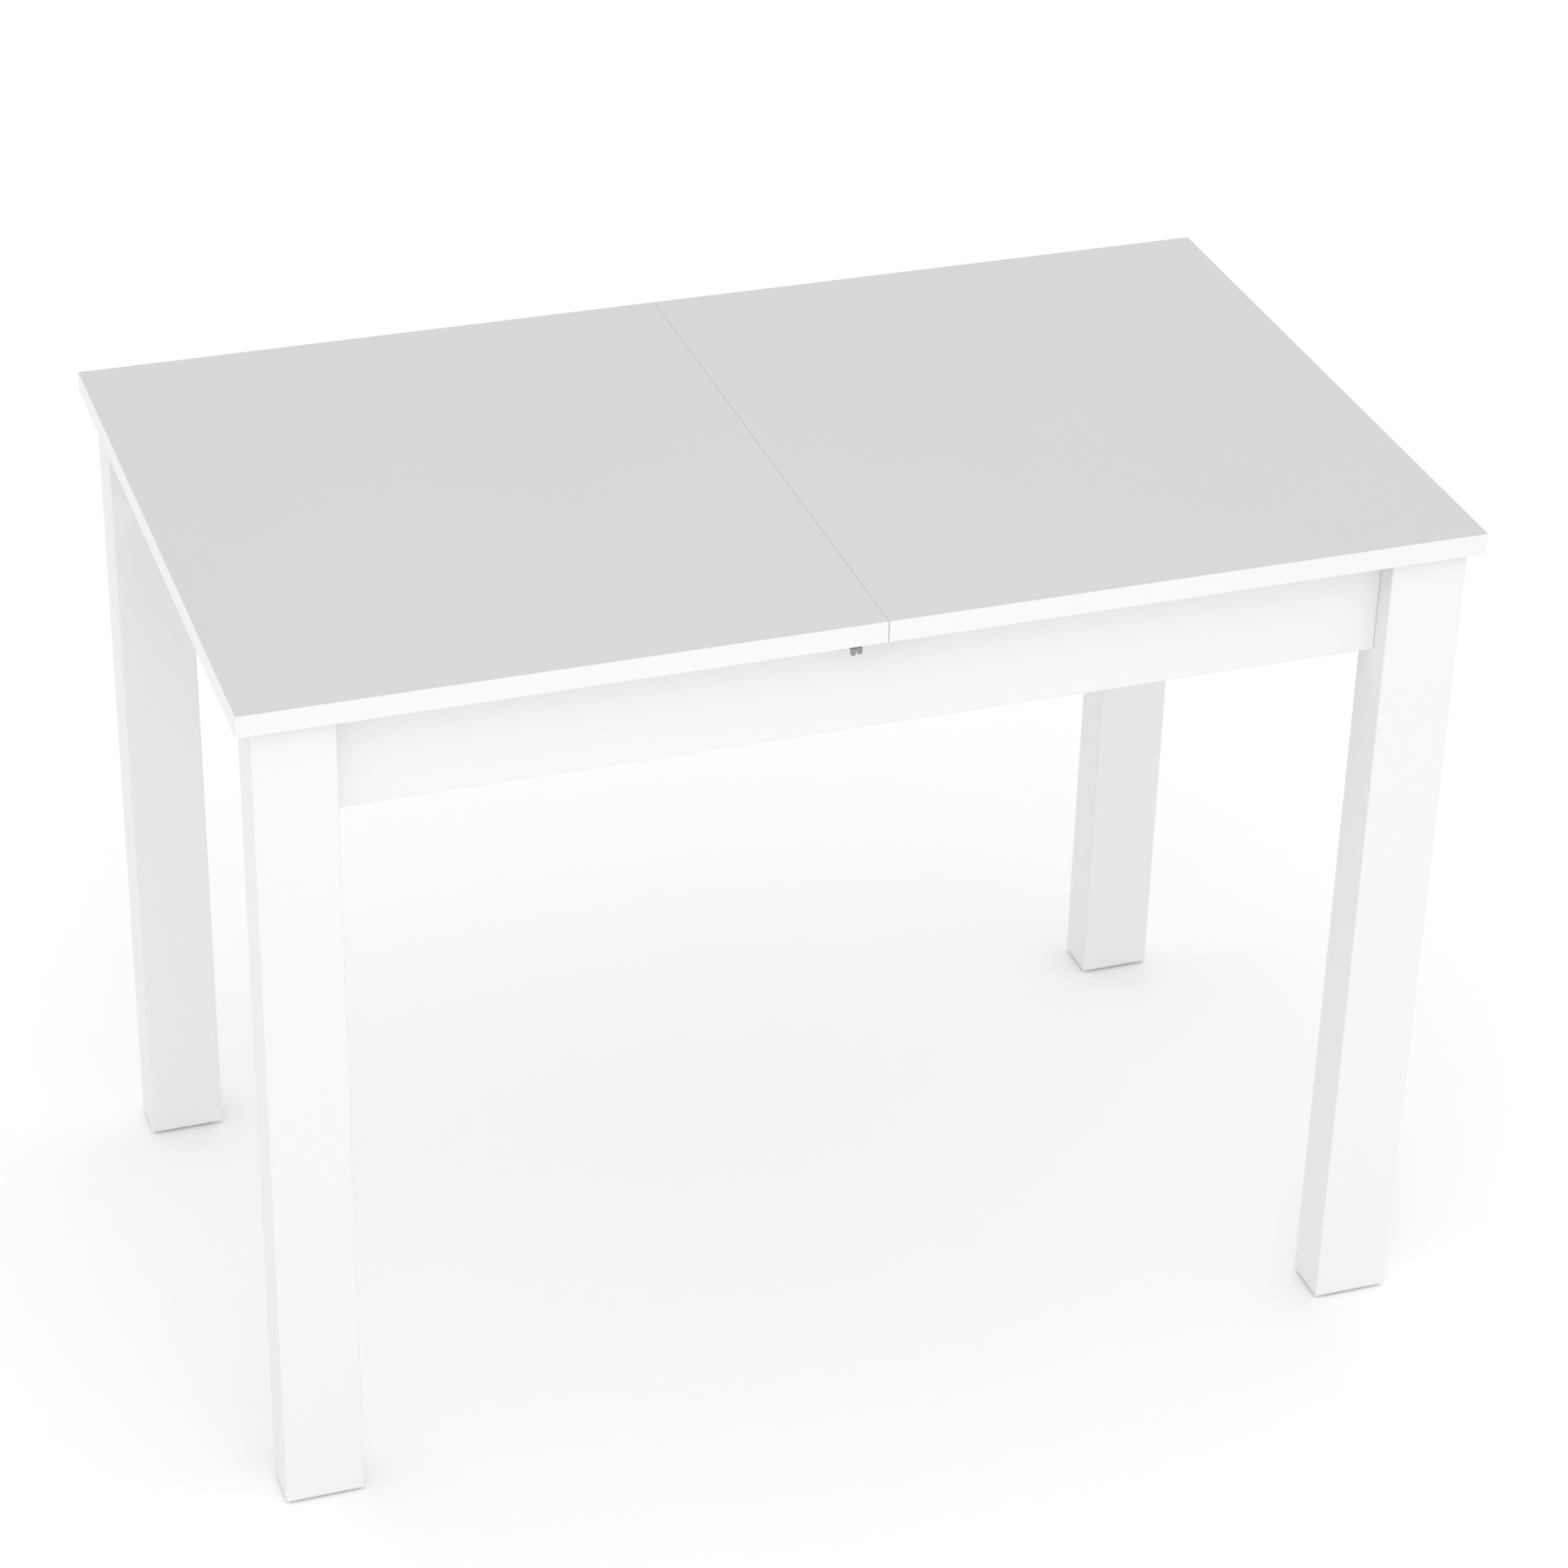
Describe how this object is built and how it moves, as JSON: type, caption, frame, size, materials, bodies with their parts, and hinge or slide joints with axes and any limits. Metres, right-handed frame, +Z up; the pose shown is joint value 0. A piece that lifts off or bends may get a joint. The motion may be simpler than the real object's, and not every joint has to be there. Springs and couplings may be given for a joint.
{
  "type": "extendable dining table",
  "caption": "White extending dining table: straight legs and aprons, a top whose halves slide apart, swivel catches at the seam, and a loose leaf stored under the top.",
  "frame": {"origin": "on the floor, under the middle of the closed top", "axes": "+X along the table's length towards its right end, +Y from the front edge to the back edge, +Z up"},
  "size_m": [1.01, 0.6, 0.75],
  "materials": {
    "top_laminate": "satin white laminate on particle board",
    "frame_laminate": "satin white laminate",
    "beech": "planed, clear lacquer",
    "zinc_steel": "zinc plated",
    "dark_steel": "dark plated, satin",
    "glide_plastic": "moulded",
    "rubber": "matte"
  },
  "bodies": {
    "frame": {"apron_back": "frame_laminate", "apron_front": "frame_laminate", "apron_left": "frame_laminate", "apron_right": "frame_laminate", "corner_block_back_left": "beech", "corner_block_back_right": "beech", "corner_block_front_left": "beech", "corner_block_front_right": "beech", "foot_glide_back_left": "glide_plastic", "foot_glide_back_right": "glide_plastic", "foot_glide_front_left": "glide_plastic", "foot_glide_front_right": "glide_plastic", "guide_rail_back": "beech", "guide_rail_front": "beech", "hanger_bolt_back_left": "zinc_steel", "hanger_bolt_back_right": "zinc_steel", "hanger_bolt_front_left": "zinc_steel", "hanger_bolt_front_right": "zinc_steel", "leaf_batten_left": "beech", "leaf_batten_right": "beech", "leg_back_left": "frame_laminate", "leg_back_right": "frame_laminate", "leg_front_left": "frame_laminate", "leg_front_right": "frame_laminate", "runner_buffer_back_left": "rubber", "runner_buffer_back_right": "rubber", "runner_buffer_front_left": "rubber", "runner_buffer_front_right": "rubber", "washer_back_left": "zinc_steel", "washer_back_right": "zinc_steel", "washer_front_left": "zinc_steel", "washer_front_right": "zinc_steel", "wing_nut_back_left": "zinc_steel", "wing_nut_back_right": "zinc_steel", "wing_nut_front_left": "zinc_steel", "wing_nut_front_right": "zinc_steel"},
    "top_left": {"catch_base_back": "dark_steel", "catch_base_front": "dark_steel", "catch_rivet_back": "dark_steel", "catch_rivet_front": "dark_steel", "runner_back_left": "beech", "runner_front_left": "beech", "top_left": "top_laminate"},
    "top_right": {"catch_keeper_back": "dark_steel", "catch_keeper_front": "dark_steel", "runner_back_right": "beech", "runner_front_right": "beech", "seam_pin_1": "beech", "seam_pin_2": "beech", "seam_pin_3": "beech", "top_right": "top_laminate"},
    "catch_front": {"catch_lever_front": "dark_steel"},
    "catch_back": {"catch_lever_back": "dark_steel"},
    "insert_leaf": {"insert_leaf": "top_laminate", "leaf_pin_1": "beech", "leaf_pin_2": "beech", "leaf_pin_3": "beech"}
  },
  "joints": [
    {"name": "top_left_slide", "type": "slide", "parent": "frame", "child": "top_left", "axis": [-1, 0, 0], "range_m": [0, 0.17525]},
    {"name": "top_right_slide", "type": "slide", "parent": "frame", "child": "top_right", "axis": [1, 0, 0], "range_m": [0, 0.17525]},
    {"name": "catch_front_swing", "type": "hinge", "parent": "top_left", "child": "catch_front", "pos_m": [-0.013, -0.28421, 0.729], "axis": [0, 0, 1], "range_deg": [-10, 0]},
    {"name": "catch_back_swing", "type": "hinge", "parent": "top_left", "child": "catch_back", "pos_m": [-0.013, 0.28421, 0.729], "axis": [0, 0, 1], "range_deg": [0, 10]},
    {"name": "insert_leaf_lift", "type": "slide", "parent": "frame", "child": "insert_leaf", "axis": [0, 0, 1], "range_m": [0, 0.02]}
  ]
}
